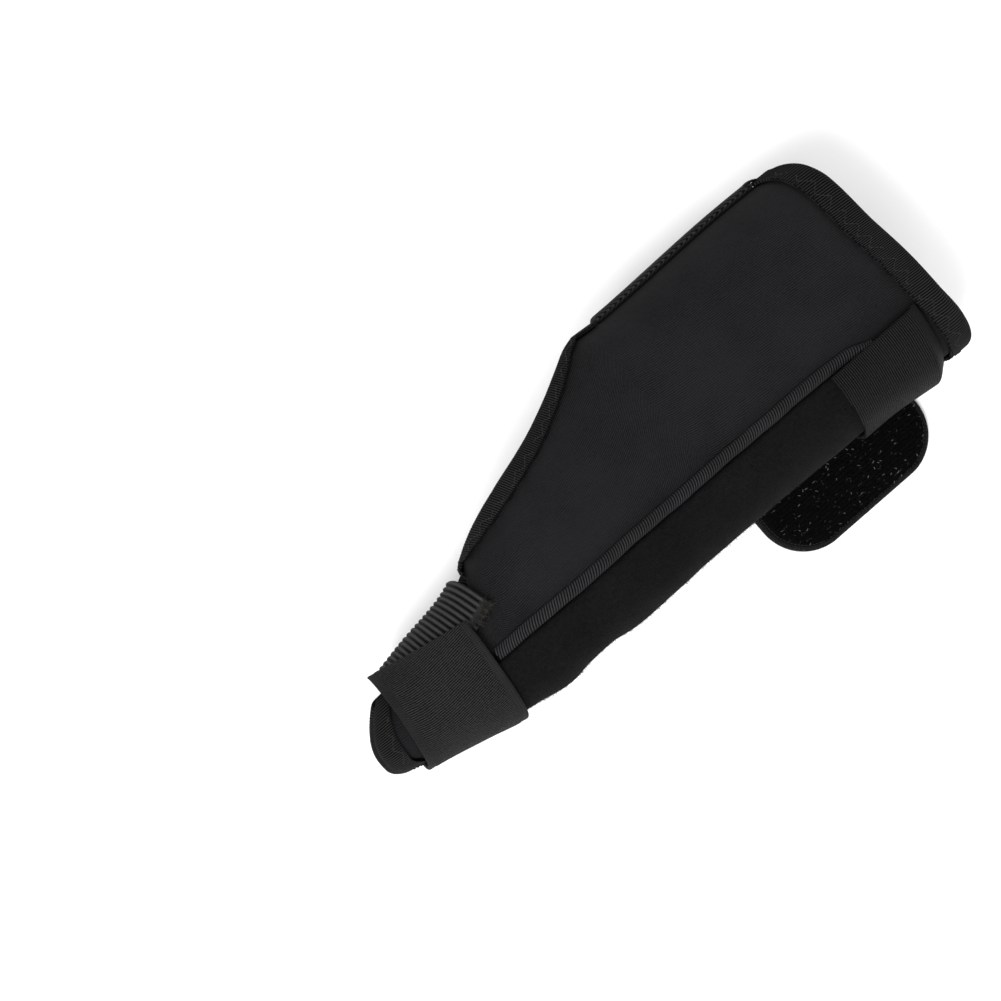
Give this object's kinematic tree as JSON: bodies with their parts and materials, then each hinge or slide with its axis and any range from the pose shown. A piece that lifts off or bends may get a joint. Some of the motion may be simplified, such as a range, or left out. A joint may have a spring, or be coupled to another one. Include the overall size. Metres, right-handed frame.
{
  "type": "thumb spica splint",
  "caption": "Black wrist and thumb splint: a neoprene sleeve open to the palm, a padded stay pocket, a ribbed thumb elastic and two wrap straps",
  "frame": {"origin": "on the ground, under the middle of the bounding box", "axes": "+X from the forearm opening to the thumb tip, +Y to the thumb side, +Z to the palm side"},
  "size_m": [0.2044, 0.0946, 0.0497],
  "materials": {
    "neoprene": "smooth black jersey over neoprene foam",
    "binding_tape": "black knitted binding tape with fine cross ribs",
    "ribbed_elastic": "black ribbed elastic",
    "loop_cloth": "deep black brushed loop cloth",
    "piping_tape": "ribbed charcoal piping",
    "woven_tape": "black woven tape with a slight sheen",
    "strap_knit": "charcoal knitted strap with plain edges",
    "hook_tape": "black moulded hooks with small glints"
  },
  "bodies": {
    "root": {"neoprene_sleeve": "neoprene", "forearm_binding": "binding_tape", "palm_binding": "binding_tape", "back_binding": "binding_tape", "thumb_end_binding": "binding_tape", "thumb_elastic": "ribbed_elastic", "stay_pocket": "loop_cloth", "pocket_piping_palm": "piping_tape", "pocket_piping_back": "piping_tape", "pocket_tab": "woven_tape", "thumb_strap": "strap_knit", "wrist_strap": "strap_knit", "hook_patch": "hook_tape"}
  },
  "joints": []
}
